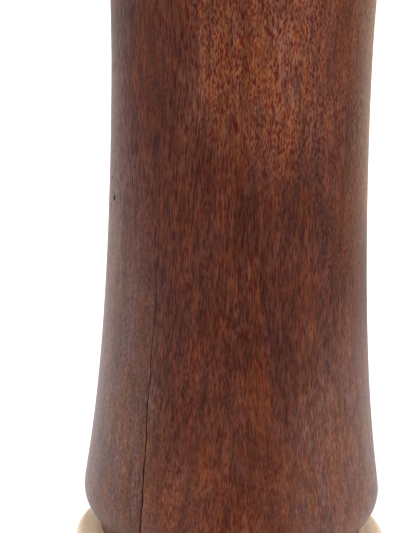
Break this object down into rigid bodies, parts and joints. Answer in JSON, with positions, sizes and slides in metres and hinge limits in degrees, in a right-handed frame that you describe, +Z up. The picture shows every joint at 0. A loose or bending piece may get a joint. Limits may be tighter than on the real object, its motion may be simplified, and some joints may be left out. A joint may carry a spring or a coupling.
{
  "type": "dip pen holder",
  "caption": "Turned wooden desk holder that keeps dip pens upright in a lift-out rack over a lined well, on a weighted, felt-covered foot.",
  "frame": {"origin": "on the table, under the middle of the holder", "axes": "+Z up along the turned axis; +Y through the locating pin, -Y faces the viewer"},
  "size_m": [0.051, 0.051, 0.1536],
  "materials": {
    "mahogany": "satin oiled mahogany, open pores, straight ribbon grain",
    "maple": "pale close-grained maple, satin",
    "brass": "turned and polished",
    "steel": "plain turned steel",
    "green_felt": "dense wool felt"
  },
  "bodies": {
    "holder": {"felt_foot": "green_felt", "maple_base": "maple", "base_screw_1": "steel", "base_screw_2": "steel", "base_screw_3": "steel", "ballast_weight": "steel", "mahogany_body": "mahogany", "brass_liner": "brass", "well_pad": "green_felt", "maple_collar": "maple", "locating_pin": "brass"},
    "rack": {"pen_rack": "mahogany", "ferrule_1": "brass", "ferrule_2": "brass", "ferrule_3": "brass", "ferrule_4": "brass", "ferrule_5": "brass", "ferrule_6": "brass", "rack_knob": "brass", "knob_bolt": "brass", "knob_washer": "brass"}
  },
  "joints": [
    {"name": "rack_lift", "type": "slide", "parent": "holder", "child": "rack", "axis": [0, 0, 1], "range_m": [0, 0.025]}
  ]
}
